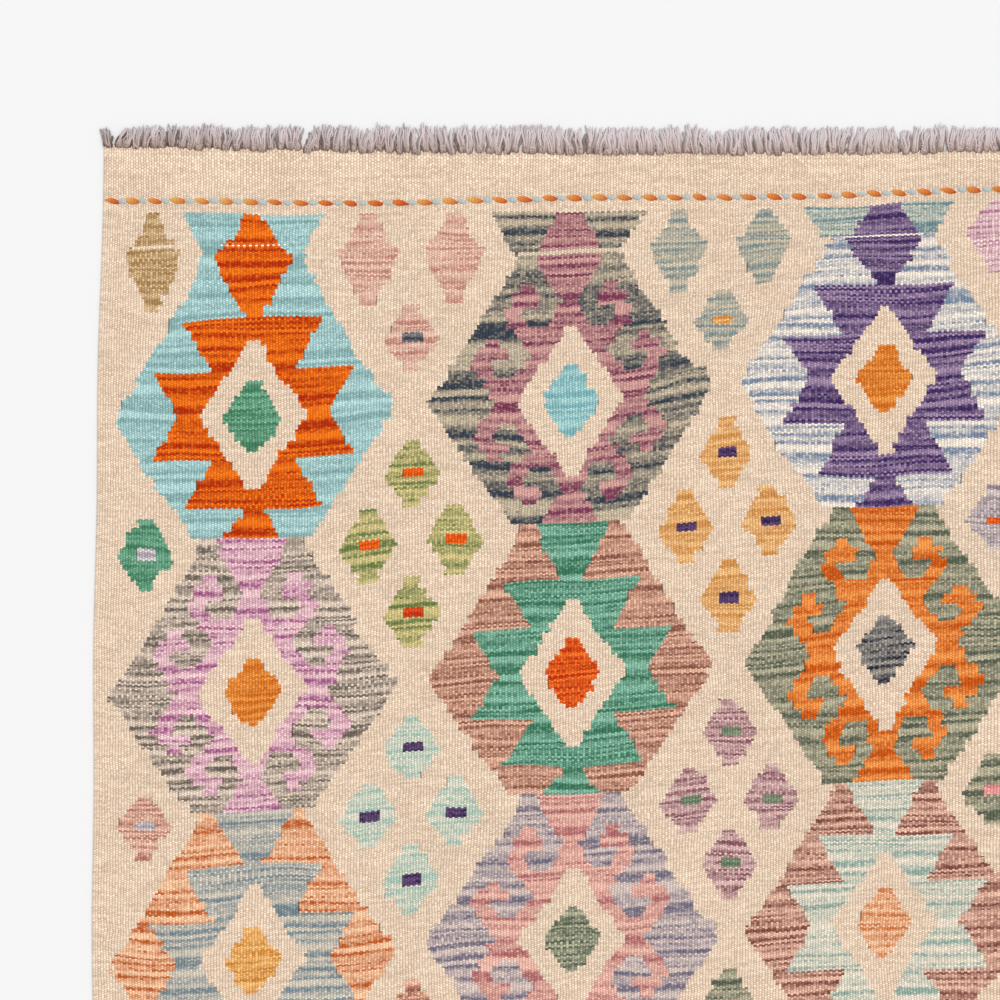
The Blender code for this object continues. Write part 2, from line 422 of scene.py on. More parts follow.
# Fringe
TUFTS = 104                         # bunches at each end
TUFT_HALF_WIDTH = 0.0034
TUFT_WIDTHS = (0.75, 1.25)          # shares of it
TUFT_LEANS = ((0.16, 4), (0.14, 1.3))       # how far bunches lean, and over how many the lean turns
TIP_LINE = (0.7391, -0.0018)        # where the fringe is cut straight across: at x = 0, and its slope
TIP_STRAY = 0.0012
TIP_STRAY_TUFTS = 3
ROOT_OVERLAP = 0.0001               # how far the strands start inside the cloth
ROOT_STRAY = 0.0020                 # of a bunch
STRAND_STRAY = 0.0012               # of single strands in it
TONE_STRAY = 0.10                   # how much lighter or darker single bunches are
SPACING_STRAY = 0.0014
EDGE_LEAN = -0.26                   # of the outermost bunch on the left
STRAND_SIDES = 6
STRAND_FAN = 0.10                   # how far a bunch's strands part on their way out
STRAND_DRIFT = 0.15                 # how far single ones turn aside
WAVE_CURLS = (0.0007, 0.0017)       # of a bunch
WAVE_TURNS = (0.8, 1.5)
OWN_CURLS = (0.7, 1.3)              # of a strand, as shares of its bunch's
OWN_PHASE = 1.1
# Warp ends across a knot: how many, and the spreads of their distance from the cloth, slope, bow,
# width as a share of the bunch's, radius and tone
WRAP_COUNTS = (1, 2, 2)
WRAP_SPREADS = ((0.0016, 0.0066), (-0.0034, 0.0012), (0.0, 0.0022), (0.6, 1.0), (0.0006, 0.0010),
                (0.40, 1.0))
WRAP_LEVEL = 0.0034
WRAP_RISE = 0.0005
WRAP_AWAY = 0.2                     # how far their shade is on the way from knot to tip
# Wool at the knots and at the tips: the darkest and the lightest; the dark near the knots is partly the
# wool's own, partly painted shade where the strands crowd
FRINGE_DARK = (106, 84, 76)
FRINGE_ROOT = (226, 200, 188)
FRINGE_TIP = (238, 226, 230)
# How much paler the fringe gets across the rug: x, tone
FRINGE_PALING = ((-0.52, -0.05), (-0.25, 0.09), (0.08, 0.34), (0.52, 0.32))
ROOT_PALING = 0.4                   # share of it that the knots take on
PALES_BY = 1.15                     # a strand has its tip's shade a little before its end
STRAND_PROFILE = (0.70, 0.95, 1.0, 1.0, 1.0, 1.0, 0.98, 0.90, 0.74, 0.38)
# A bunch along its reach: share of it, width, and rise over the knot
BUNCH_FORM = ((0.0, 0.90, 0.0), (0.18, 1.0, 0.0006), (0.38, 0.90, 0.0002), (1.0, 1.25, 0.0))
# Layers of a bunch from below: strands, radii, reaches, tones at the knot and at the tip,
# height at the root, lift at the tip
# The dark lowest layer fills the gaps between bunches near the knots: partly darker wool beneath, partly
# painted shade there
STRAND_LAYERS = (
    (4, (0.0013, 0.0016), (0.50, 0.80), (0.00, 0.12), (0.02, 0.30), 0.0016, 0.0001),
    (5, (0.0010, 0.0013), (0.84, 1.03), (0.08, 0.58), (0.38, 0.90), 0.0020, 0.0003),
    (4, (0.0009, 0.0012), (0.82, 1.05), (0.32, 0.90), (0.62, 1.10), 0.0025, 0.0014),
)
LAYER_SPREADS = (1.45, 1.0, 0.90)   # their widths, as shares of the bunch's
# Where the fringe parts: x, how far it leans away there, how much shorter it is
PARTINGS = {
    "head": ((-0.4975, 0.38, 0.10), (-0.2890, 0.36, 0.15), (0.0245, 0.12, 0.05), (0.1580, 0.14, 0.42),
             (0.2485, 0.16, 0.05)),
    "foot": ((-0.3620, 0.34, 0.10), (0.1510, 0.16, 0.30), (0.4120, 0.28, 0.10)),
}
PARTING_REACH = 0.0070

# Surroundings
FLOOR_SIZE = 30
FLOOR_GREY = 0.86
SKY_STRENGTH = 0.70 * 1.11
SUN_ENERGY = 1.12 * 1.11
SUN_SPREAD = 25                     # degrees
SUN_TILT = (-28, 30)                # degrees about x and y
CAMERA_REACH = 100

# Seeds of the random draws
FLECK_SEED = 3
TONE_SEED = 11
CHART_SEED = 7
CLOTH_SEED = 19
ENDS_SEED = 23
TWINE_SEED = {"head": 31, "foot": 37}
FRINGE_SEED = {"head": 53, "foot": 59}


# ---------------------------------------------------------------- helpers

def linear(shade):
    """Scene-linear colour of an sRGB shade given as 0 to 255."""
    values = np.asarray(shade, dtype=float) / 255
    return np.where(values <= 0.04045, values / 12.92, ((values + 0.055) / 1.055) ** 2.4)


def wander(chance, count, knot_spacing):
    """Smooth random walk between -1 and 1, one value for each of count places."""
    knots = int(count / knot_spacing) + 4
    values = np.array([chance.uniform(-1, 1) for _ in range(knots)])
    place = np.arange(count) / knot_spacing + chance.random()
    index = place.astype(int)
    share = place - index
    share = share * share * (3 - 2 * share)
    return values[index] * (1 - share) + values[index + 1] * share


def long_edge(y, side):
    away = y - WIDEST_AT[side]
    wave = SIDE_WAVE_DEPTH * (1 - np.cos(2 * math.pi * away / SIDE_WAVE[side]))
    return HALF_WIDTH - SIDE_DRAW_IN * (away / HALF_LENGTH) ** 2 - wave


def end_line(x, end):
    away = x - END_LOWEST_AT[end]
    return HALF_LENGTH + END_CLIMB[end] * (away / END_CLIMB_REACH) ** 2


def twined_line(x, end):
    climb = np.maximum(0.0, (x - LINE_CLIMB_FROM) / LINE_CLIMB_REACH) ** 1.5
    return LINE_FROM_CENTRE[end] + LINE_CLIMB[end] * climb


def cad_offset():
    """How far the CAD's centring slid the cloth, in x and y."""
    low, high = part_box("kilim_cloth")
    corner = float(long_edge(-HALF_LENGTH, "left"))
    reach = max(end_line(-corner, "head"), end_line(corner, "head"))
    return Vector((high[0] - HALF_WIDTH, high[1] - reach, 0))


# ---------------------------------------------------------------- chart

class Chart:
    """Which ball of yarn covers each warp of each half row."""

    def __init__(self, seed):
        self.chance = random.Random(seed)
        self.balls = []
        self.cells = np.zeros((2 * ROWS, WARPS), dtype=int)
        self.breaks = np.zeros((ROWS, WARPS, 4))
        self.ball("cream")

    def ball(self, yarn):
        """A new ball of that yarn."""
        self.balls.append(yarn)
        return len(self.balls) - 1

    def paint(self, line, first, last, ball):
        if 0 <= line < 2 * ROWS:
            first = max(0, math.floor(first + 0.5))
            last = min(WARPS, math.floor(last + 0.5))
            self.cells[line, first:last] = ball

    def jitter(self):
        """Now and then a side of a half row starts a warp early or late."""
        return self.chance.choice((-1, 0, 0, 0, 0, 0, 0, 1))

    def mirror(self, line, centre, spans, left_ball, right_ball, outer_balls=None, more=(0, 0)):
        """Stretches of a half row on both sides of a centre line, with more warps on each side."""
        for inner, outer in spans:
            balls = outer_balls if outer_balls and inner else (left_ball, right_ball)
            left = [reach + (self.jitter() if reach else 0) for reach in (inner, outer)]
            right = [reach + (self.jitter() if reach else 0) for reach in (inner, outer)]
            self.paint(line, centre - left[1] - more[0], centre - left[0], balls[0])
            self.paint(line, centre + right[0], centre + right[1] + more[1], balls[1])

    def break_line(self, row, centre, half_width, picks, yarn):
        """A few picks of another yarn along the top of a row."""
        shade = linear(YARNS[yarn][1])
        self.breaks[row, centre - half_width:centre + half_width] = (*shade, picks)


def solid_rows(half_widths):
    """Rows that are filled from the centre line out to each half width."""
    return [((0, half_width),) for half_width in half_widths]


def nearest(value, spans, side):
    """That side of the spans which carries on an edge at value, or None."""
    close = [span[side] for span in spans if abs(span[side] - value) <= SLANT_REACH]
    return min(close, key=lambda other: abs(other - value)) if close else None


def slanted(rows):
    """Two half rows for each row, with its slanting edges stepped in between."""
    halves = []
    for index, spans in enumerate(rows):
        above = rows[index - 1] if index else ()
        below = rows[index + 1] if index + 1 < len(rows) else ()
        upper = []
        lower = []
        for span in spans:
            moved = [list(span), list(span)]
            for side, value in enumerate(span):
                before = nearest(value, above, side)
                after = nearest(value, below, side)
                rise = value - before if before is not None else None
                fall = after - value if after is not None else None
                if value:
                    moved[0][side] -= (rise if rise is not None else fall or 0) / 4
                    moved[1][side] += (fall if fall is not None else rise or 0) / 4
            upper.append(tuple(moved[0]))
            lower.append(tuple(moved[1]))
        halves += [upper, lower]
    return halves


def straying(place, step):
    """How many warps wider the outline is on the left and on the right in that half row."""
    left = right = 0
    for row, column, first, last, more_left, more_right in STRAY_OUTLINES:
        if (row, column) == place and first <= step / 2 < last:
            left += more_left
            right += more_right
    return left, right


def paint_medallion(chart, place, kind, yarns):
    """One medallion, a period tall, in its row and column."""
    centre = COLUMN_WARPS[place[1]]
    top = FIRST_ROW + place[0] * PERIOD
    ground_yarn, motif_yarn, centre_yarn = yarns
    grounds = (chart.ball(ground_yarn), chart.ball(ground_yarn))
    whole = chart.ball(motif_yarn)
    sides = (chart.ball(motif_yarn), chart.ball(motif_yarn))
    diamond_first, diamond = CREAM_DIAMOND
    outline = slanted(solid_rows(OUTLINE))
    motif = slanted(solid_rows(TOOTHED)) if kind == "toothed" else HOOKED
    for step in range(2 * PERIOD):
        line = 2 * top + step
        chart.mirror(line, centre, outline[step], *grounds, more=straying(place, step))
        split = diamond_first <= step // 2 < diamond_first + len(diamond)
        inner_balls = sides if split else (whole, whole)
        chart.mirror(line, centre, motif[step], *inner_balls, outer_balls=sides)
    paint_diamond(chart, centre, top + diamond_first, diamond, chart.ball("cream"))
    centre_first, centre_widths = CENTRE_DIAMOND
    paint_diamond(chart, centre, top + centre_first, centre_widths, chart.ball(centre_yarn))


def paint_diamond(chart, centre, top, half_widths, ball):
    for step, spans in enumerate(slanted(solid_rows(half_widths))):
        chart.mirror(2 * top + step, centre, spans, ball, ball)


def paint_lozenge(chart, centre, middle_row, half_widths, yarn, eye):
    """A small diamond about the middle of a row, with an eye of another yarn."""
    centre = math.floor(centre + 0.5)
    top = 2 * middle_row + 1 - len(half_widths) // 2
    ball = chart.ball(yarn)
    for step, half_width in enumerate(half_widths):
        chart.mirror(top + step, centre, ((0, half_width),), ball, ball)
    if eye:
        ball = chart.ball(eye)
        for line in (2 * middle_row, 2 * middle_row + 1):
            chart.paint(line, centre - EYE_HALF_WIDTH, centre + EYE_HALF_WIDTH, ball)


def paint_caps(chart):
    """Parts of medallions between the twined lines and the full ones."""
    last_boundary = FIRST_ROW + MEDALLION_ROWS * PERIOD
    for column, centre in enumerate(COLUMN_WARPS):
        caps = (
            (-1, PATTERN_START, HEAD_CAP[column], CAP_OUTLINE, CAP_MOTIFS[column]),
            (MEDALLION_ROWS, last_boundary, FOOT_CAP[column], FOOT_CAP_OUTLINE, FOOT_CAP_MOTIF),
        )
        for row, top, (ground, motif), outline, motif_widths in caps:
            grounds = (chart.ball(ground), chart.ball(ground))
            for step, spans in enumerate(slanted(solid_rows(outline))):
                chart.mirror(2 * top + step, centre, spans, *grounds, more=straying((row, column), step))
            paint_diamond(chart, centre, top, motif_widths, chart.ball(motif))


def paint_clusters(chart):
    for warp, boundary, yarn, eye, bottom_eye in CLUSTERS:
        row = FIRST_ROW + boundary * PERIOD
        for side in (-1, 1):
            paint_at_boundary(chart, boundary, warp + side * CLUSTER_REACH, yarn, eye)
        if boundary:
            paint_lozenge(chart, warp, row + CLUSTER_ROWS[0], LOZENGE, yarn, eye)
        if boundary < MEDALLION_ROWS:
            paint_lozenge(chart, warp, row + CLUSTER_ROWS[1], LOZENGE, yarn, bottom_eye)
    for single in SINGLES:
        paint_at_boundary(chart, *single)


def paint_at_boundary(chart, boundary, warp, yarn, eye):
    """A small diamond where two rows of medallions meet, and a taller one at the head."""
    row = FIRST_ROW + boundary * PERIOD
    if boundary:
        paint_lozenge(chart, warp, row + 1, LOZENGE, yarn, eye)
    else:
        paint_lozenge(chart, warp, row, TALL_LOZENGE, yarn, eye)


def make_chart():
    chart = Chart(CHART_SEED)
    paint_caps(chart)
    for row, medallions in enumerate(MEDALLIONS):
        for column, (kind, *yarns) in enumerate(medallions):
            paint_medallion(chart, (row, column), kind, yarns)
    paint_clusters(chart)
    for row, *line in BREAK_LINES:
        chart.break_line(FIRST_ROW + row, *line)
    return chart


def yarn_runs(chart):
    """For each half-row cell: yarn length used up before, run width, run start."""
    used = [chart.chance.uniform(0, 9000) for _ in chart.balls]
    runs = np.zeros((2 * ROWS, WARPS, 3))
    for line, cells in enumerate(chart.cells):
        edges = np.flatnonzero(np.diff(cells)) + 1
        starts = np.concatenate(([0], edges))
        stops = np.concatenate((edges, [WARPS]))
        lengths = {}
        for start, stop in zip(starts, stops):
            ball = cells[start]
            lengths[ball] = max(lengths.get(ball, 0), stop - start)
            runs[line, start:stop] = (used[ball], stop - start, start)
        for ball, length in lengths.items():
            used[ball] += HALF_PICKS * length
    return runs


# ---------------------------------------------------------------- cloth

def warp_x():
    """x of each warp line, before the edges are drawn in."""
    knots, places = zip(*WARP_PLACES)
    return np.interp(np.arange(WARPS + 1), knots, places)


def pulled(rows, pulls):
    """How far the cloth is pulled off its even lay there: rows x (WARPS + 1)."""
    steps = (rows - FIRST_ROW)[:, None]
    warps = np.arange(WARPS + 1)[None, :]
    shift = np.zeros((len(rows), WARPS + 1))
    for warp, step, warp_reach, step_reach, amount in pulls:
        away = ((warps - warp) / warp_reach) ** 2 + ((steps - step) / step_reach) ** 2
        shift += amount * np.exp(-away)
    return shift


def row_lines():
    """y of every row line at every warp line: (ROWS + 1) x (WARPS + 1)."""
    x = warp_x()
    across = (np.arange(WARPS + 1) - COLUMN_WARPS[1]) / (COLUMN_WARPS[1] - COLUMN_WARPS[0])
    across = np.maximum(across, -1.0)
    anchors = [(0, end_line(x, "head")), (SKIRT_ROWS, twined_line(x, "head"))]
    for step, left, middle, right in LAY:
        slope = (right - left) / 2
        bend = (right + left) / 2 - middle
        anchors.append((step + FIRST_ROW, middle + slope * across + bend * across ** 2))
    anchors.append((ROWS - SKIRT_ROWS, -twined_line(x, "foot")))
    anchors.append((ROWS, -end_line(x, "foot")))
    places = np.array([place for place, _ in anchors])
    values = np.array([value for _, value in anchors])
    lines = np.arange(ROWS + 1)
    return np.stack([np.interp(lines, places, values[:, warp]) for warp in range(WARPS + 1)], axis=1)


def pick_places():
    """Number of the pick at each row line, with fewer of them in the two skirts."""
    places = PICKS * np.arange(ROWS + 1, dtype=float)
    for row in range(SKIRT_ROWS):
        picks = sum(SKIRT_PICKS[row:])
        places[row] = SKIRT_ROWS * PICKS - picks
        places[ROWS - row] = (ROWS - SKIRT_ROWS) * PICKS + picks
    return places


def ragged(chance):
    """How far the outermost picks stand out of an end line, at every warp line."""
    picks = np.array([(-1) ** warp + chance.uniform(-1, 1) for warp in range(WARPS + 1)])
    strays = wander(chance, WARPS + 1, EDGE_WANDER_WARPS)
    return EDGE_WANDER[0] + EDGE_WANDER[1] * strays + RAGGED_EDGE / 2 * picks


def cloth_grid(chance):
    """x and y of the cloth's vertices."""
    y = row_lines()
    edge_chance = random.Random(ENDS_SEED)
    y[0] += ragged(edge_chance)
    y[-1] -= ragged(edge_chance)
    y[PATTERN_START:PATTERN_END] += pulled(np.arange(PATTERN_START, PATTERN_END), PUCKERS)
    fixed = (0, SKIRT_ROWS, ROWS - SKIRT_ROWS, ROWS)
    stray = np.zeros(WARPS + 1)
    for line in range(ROWS + 1):
        if line not in fixed:
            in_pattern = SKIRT_ROWS < line < ROWS - SKIRT_ROWS
            amount = ROW_WANDER if in_pattern else ROW_WANDER / 2
            stray = ROW_MEMORY * stray + amount * wander(chance, WARPS + 1, ROW_WANDER_WARPS)
            y[line] += stray
    x = np.tile(warp_x(), (ROWS + 1, 1)) + pulled(np.arange(ROWS + 1), SWAYS)
    for line in range(ROWS + 1):
        x[line] += WARP_WANDER * wander(chance, WARPS + 1, WARP_WANDER_WARPS)
    warps = np.arange(WARPS + 1)
    left_share = np.clip(1 - warps / COLUMN_WARPS[0], 0, 1) ** 2
    right_share = np.clip(1 - (WARPS - warps) / (WARPS - COLUMN_WARPS[2]), 0, 1) ** 2
    left = -long_edge(y[:, 0], "left") - x[:, 0]
    right = long_edge(y[:, -1], "right") - x[:, -1]
    x += left[:, None] * left_share + right[:, None] * right_share
    return x, y


def slit_strength(chart, chance):
    """How strong the slit at each warp line of each half row is, from 0 to 1: how deep it sinks and how
    much painted shade it gets.
    """
    yarns = np.unique(chart.balls, return_inverse=True)[1][chart.cells]
    changes = np.diff(yarns, axis=1) != 0
    strength = np.zeros((2 * ROWS, WARPS + 1))
    for line, warp in zip(*np.nonzero(changes)):
        upright = changes[max(line - 1, 0), warp] or changes[min(line + 1, 2 * ROWS - 1), warp]
        before = strength[line - 1, warp + 1] if line else 0.0
        if upright:
            strength[line, warp + 1] = before or chance.choice((0.0, 0.0, chance.uniform(*SLIT_STRENGTHS)))
    return strength


def cloth_faces():
    """Vertex indices and the cell of each face: top, underside, then edges."""
    columns = WARPS + 1
    under = (ROWS + 1) * columns
    rows, warps = np.meshgrid(np.arange(ROWS), np.arange(WARPS), indexing="ij")
    corner = (rows * columns + warps).ravel()
    top = np.stack([corner, corner + columns, corner + columns + 1, corner + 1], axis=1)
    bottom = under + top[:, ::-1]
    cells = np.stack([rows.ravel(), warps.ravel()], axis=1)
    edges = []
    edge_cells = []
    for row in range(ROWS):
        left = row * columns
        right = left + WARPS
        edges.append((left, left + under, left + columns + under, left + columns))
        edges.append((right, right + columns, right + columns + under, right + under))
        edge_cells += [(row, 0), (row, WARPS - 1)]
    for warp in range(WARPS):
        head = warp
        foot = ROWS * columns + warp
        edges.append((head, head + 1, head + 1 + under, head + under))
        edges.append((foot, foot + under, foot + 1 + under, foot + 1))
        edge_cells += [(0, warp), (ROWS - 1, warp)]
    faces = np.concatenate([top, bottom, np.array(edges)])
    return faces, np.concatenate([cells, cells, np.array(edge_cells)])


def cloth_heights(strength, chance):
    """z of the top and of the underside at every vertex."""
    top = np.full((ROWS + 1, WARPS + 1), TOP)
    slits = np.zeros_like(top)
    slits[:-1] = strength[::2]
    slits[1:] = np.maximum(slits[1:], strength[1::2])
    top -= SLIT_DEPTH * slits
    for line in range(ROWS + 1):
        top[line] += UNDULATION / 2 * wander(chance, WARPS + 1, UNDULATION_REACH[0])
    top += UNDULATION / 2 * wander(chance, ROWS + 1, UNDULATION_REACH[1])[:, None]
    bottom = np.full_like(top, UNDERSIDE)
    for sheet, edge in ((top, SELVEDGE_TOP), (bottom, SELVEDGE_UNDERSIDE)):
        sheet[[0, -1]] = edge
        sheet[:, [0, -1]] = edge
    return top, bottom


def add_attribute(mesh, name, kind, domain, values):
    layer = mesh.attributes.new(name, kind, domain)
    field = {"FLOAT_COLOR": "color", "FLOAT_VECTOR": "vector", "FLOAT": "value"}[kind]
    layer.data.foreach_set(field, np.ascontiguousarray(values, dtype=np.float32).ravel())


def add_uv(mesh, name, coordinates):
    layer = mesh.uv_layers.new(name=name)
    layer.data.foreach_set("uv", np.ascontiguousarray(coordinates, dtype=np.float32).ravel())


def make_piece(mesh, material):
    mesh.materials.append(material)
    piece = bpy.data.objects.new(mesh.name, mesh)
    bpy.context.scene.collection.objects.link(piece)
    return piece


def yarn_tables(chart):
    """Dark shade with 1 / shade length, and light shade with bias, by ball."""
    dark = []
    light = []
    for name in chart.balls:
        dark_shade, light_shade, length, bias = YARNS[name]
        dark.append((*linear(dark_shade), 1 / length))
        light.append((*linear(light_shade), bias))
    return np.array(dark), np.array(light)


def neighbour_shades(chart, middle, lines, shift):
    """Mean shade of the half row beside each of the lines, with 1 in alpha where it differs."""
    own = chart.cells[lines]
    other = chart.cells[np.clip(lines + shift, 0, 2 * ROWS - 1)]
    return np.concatenate([middle[other], (other != own)[..., None]], axis=-1)


def make_cloth(chart, offset, material):
    """The kilim as one closed mesh, patterned alike on both faces."""
    chance = random.Random(CLOTH_SEED)
    runs = yarn_runs(chart)
    x, y = cloth_grid(chance)
    strength = slit_strength(chart, chance)
    points = [np.stack([x + offset.x, y + offset.y, z], axis=-1).reshape(-1, 3)
              for z in cloth_heights(strength, chance)]
    faces, cells = cloth_faces()
    mesh = bpy.data.meshes.new("kilim_weave")
    mesh.from_pydata(np.concatenate(points), [], faces)
    mesh.shade_smooth()
    rows, warps = cells[:, 0], cells[:, 1]
    dark, light = yarn_tables(chart)
    middle = (dark[:, :3] + light[:, :3]) / 2
    for half, name in enumerate(("upper", "lower")):
        lines = 2 * rows + half
        balls = chart.cells[lines, warps]
        add_attribute(mesh, name + "_dark", "FLOAT_COLOR", "FACE", dark[balls])
        add_attribute(mesh, name + "_light", "FLOAT_COLOR", "FACE", light[balls])
        add_attribute(mesh, name + "_run", "FLOAT_VECTOR", "FACE", runs[lines, warps])
    all_rows = np.arange(ROWS)
    for name, lines, shift in (("row_above", 2 * all_rows, -1), ("row_below", 2 * all_rows + 1, 1)):
        shades = neighbour_shades(chart, middle, lines, shift)
        add_attribute(mesh, name, "FLOAT_COLOR", "FACE", shades[rows, warps])
    add_attribute(mesh, "break_line", "FLOAT_COLOR", "FACE", chart.breaks[rows, warps])
    indices = faces.ravel() % ((ROWS + 1) * (WARPS + 1))
    corner_row = indices // (WARPS + 1)
    corner_warp = indices % (WARPS + 1)
    add_uv(mesh, "weave", np.stack([corner_warp, pick_places()[corner_row]], axis=1))
    add_uv(mesh, "OFBake", np.stack([corner_warp / WARPS, 1 - corner_row / ROWS], axis=1))
    corner_line = 2 * np.repeat(rows, 4)
    slit = np.zeros((len(corner_line), 3))
    slit[:, 0] = strength[corner_line, corner_warp]
    slit[:, 1] = strength[corner_line + 1, corner_warp]
    add_attribute(mesh, "slit", "FLOAT_VECTOR", "CORNER", slit)
    return make_piece(mesh, material)


# ---------------------------------------------------------------- materials

def operator(operation):
    """A method that joins two numbers of a node tree."""
    return lambda first, second: first.nodes.math(operation, first, second)


class Number:
    """A number in a material's node tree, which takes the usual operators."""

    __add__ = operator("ADD")
    __sub__ = operator("SUBTRACT")
    __mul__ = operator("MULTIPLY")
    __truediv__ = operator("DIVIDE")
    __mod__ = operator("FLOORED_MODULO")
    __pow__ = operator("POWER")
    __lt__ = operator("LESS_THAN")
    __gt__ = operator("GREATER_THAN")

    def __init__(self, nodes, socket):
        self.nodes = nodes
        self.socket = socket

    def __rsub__(self, other):
        return self.nodes.math("SUBTRACT", other, self)

    def __abs__(self):
        return self.nodes.math("ABSOLUTE", self)

    def __floor__(self):
        return self.nodes.math("FLOOR", self)


class Nodes:
    """Short names for building a material's node tree."""

    def __init__(self, name):
        self.material = bpy.data.materials.new(name)
        self.material.use_nodes = True
        self.tree = self.material.node_tree
        self.shader = self.tree.nodes["Principled BSDF"]

    def add(self, kind, inputs=(), **settings):
        """A node with those settings and inputs, which go by name or number; returns its outputs."""
        node = self.tree.nodes.new(kind)
        for key, value in settings.items():
            setattr(node, key, value)
        for key, value in dict(inputs).items():
            self.feed(node.inputs[key], value)
        return node.outputs

    def feed(self, socket, value):
        if isinstance(value, Number):
            value = value.socket
        if isinstance(value, bpy.types.NodeSocket):
            self.tree.links.new(value, socket)
        else:
            socket.default_value = value

    def math(self, operation, *values, clamp=False):
        inputs = enumerate(values)
        return Number(self, self.add("ShaderNodeMath", inputs, operation=operation, use_clamp=clamp)[0])

    def mix(self, share, first, second):
        """Colour mix."""
        inputs = {"Factor": share, 6: first, 7: second}
        return self.add("ShaderNodeMix", inputs, data_type="RGBA")[2]

    def scale(self, colour, amount):
        """A colour times a number."""
        return self.add("ShaderNodeVectorMath", {0: colour, "Scale": amount}, operation="SCALE")[0]

    def product(self, *colours):
        return self.add("ShaderNodeVectorMath", enumerate(colours), operation="MULTIPLY")[0]

    def blend(self, share, first, second):
        """Number between first and second."""
        inputs = {"Factor": share, 2: first, 3: second}
        return Number(self, self.add("ShaderNodeMix", inputs, data_type="FLOAT")[0])

    def attribute(self, name):
        """Colour and alpha of an attribute."""
        outputs = self.add("ShaderNodeAttribute", attribute_name=name)
        return outputs["Color"], outputs["Alpha"]

    def halves(self, kind, is_lower):
        """Colour and alpha of an attribute that a face has for both its halves."""
        colours, alphas = zip(self.attribute("upper_" + kind), self.attribute("lower_" + kind))
        return self.mix(is_lower, *colours), self.blend(is_lower, *alphas)

    def range(self, value, low, high, interpolation="SMOOTHSTEP"):
        """0 at low to 1 at high."""
        inputs = {"Value": value, "From Min": low, "From Max": high}
        return Number(self, self.add("ShaderNodeMapRange", inputs, interpolation_type=interpolation)[0])

    def noise(self, dimensions, scale, detail=2.0, roughness=0.5, **place):
        """Noise at a place that is given as Vector or as W."""
        inputs = {"Scale": scale, "Detail": detail, "Roughness": roughness, **place}
        return Number(self, self.add("ShaderNodeTexNoise", inputs, noise_dimensions=dimensions)[0])

    def speckle(self, *values):
        """White noise of three numbers, from 0 to 1."""
        place = self.add("ShaderNodeCombineXYZ", enumerate(values))[0]
        outputs = self.add("ShaderNodeTexWhiteNoise", {"Vector": place}, noise_dimensions="3D")
        return Number(self, outputs["Value"])

    def parts(self, vector):
        """The three numbers of a vector."""
        return [Number(self, output) for output in self.add("ShaderNodeSeparateXYZ", {0: vector})]

    def coordinates(self, uv_map):
        return self.parts(self.add("ShaderNodeUVMap", uv_map=uv_map)[0])[:2]

    def finish(self, colour, roughness, sheen, height, relief):
        """Colour and the matt, slightly hairy finish of wool, over its relief."""
        normal = self.add("ShaderNodeBump", {"Height": height, "Distance": relief})[0]
        looks = {"Base Color": colour, "Roughness": roughness, "Specular IOR Level": WOOL_GLOSS,
                 "Sheen Weight": sheen, "Sheen Roughness": SHEEN_ROUGHNESS, "Normal": normal}
        for key, value in looks.items():
            self.feed(self.shader.inputs[key], value)


def weave_beads(nodes):
    """Where a point lies in the weave: warp, pick, place on its bead."""
    u, v = nodes.coordinates("weave")
    warp = math.floor(u)
    parity = warp % 2
    pick = math.floor((v + 0.5 - parity) / 2) * 2 + parity
    pick_in_row = pick - math.floor(v / PICKS) * PICKS
    return {"warp": warp, "pick": pick, "along": (v - pick + 0.5) / 2, "across": u - warp,
            "pick_in_row": pick_in_row, "is_lower": pick_in_row > HALF_PICKS - 0.5}


def bead_height(beads):
    """Rounded top of each bead: 1 at its middle, 0 in the corners; level across on the selvedges. It
    drives the relief and the painted shade in the valleys.
    """
    middle = (WARPS - 1) / 2
    inside = abs(beads["warp"] - middle) < middle - 0.5
    rib = (abs(beads["across"] * 2 - 1) * inside) ** 2
    notch = abs(beads["along"] * 2 - 1) ** 2
    to_sides, to_ends, to_corners = BEAD_ROUNDING
    return 1 - (notch * to_ends + (rib * to_sides + rib * notch * to_corners))


def streaked_yarn(nodes, beads):
    """Shade of the yarn on each bead: it changes along the yarn's length."""
    is_lower = beads["is_lower"]
    used, width, start = nodes.parts(nodes.halves("run", is_lower)[0])
    from_left = beads["warp"] + 0.5 - start
    on_pick = nodes.blend(beads["pick"] % 2, from_left, width - from_left)
    picks = beads["pick_in_row"] - is_lower * HALF_PICKS
    length = used + (picks * width + on_pick)
    dark, per_warp = nodes.halves("dark", is_lower)
    light, bias = nodes.halves("light", is_lower)
    wave = nodes.noise("1D", 1.0, detail=3.0, roughness=0.6, W=length * per_warp)
    share = nodes.range(wave, *STREAK_RANGE, "LINEAR")
    fleck = nodes.speckle(beads["warp"], beads["pick"], FLECK_SEED) * BEAD_FLECK - BEAD_FLECK / 2
    share = nodes.math("ADD", share, fleck, clamp=True)
    return nodes.mix(share ** bias, dark, light)


def interlocked(nodes, beads, colour):
    """Beads of the rows above and below reach half a pick into this one."""
    pick = beads["pick_in_row"]
    for name, reaches_in in (("row_above", pick < -0.5), ("row_below", pick > PICKS - 0.5)):
        other, differs = nodes.attribute(name)
        colour = nodes.mix(reaches_in * differs, colour, other)
    line, picks = nodes.attribute("break_line")
    half = nodes.math("MULTIPLY", picks, 0.5)
    return nodes.mix(abs(pick - half + 0.5) < half, colour, line)


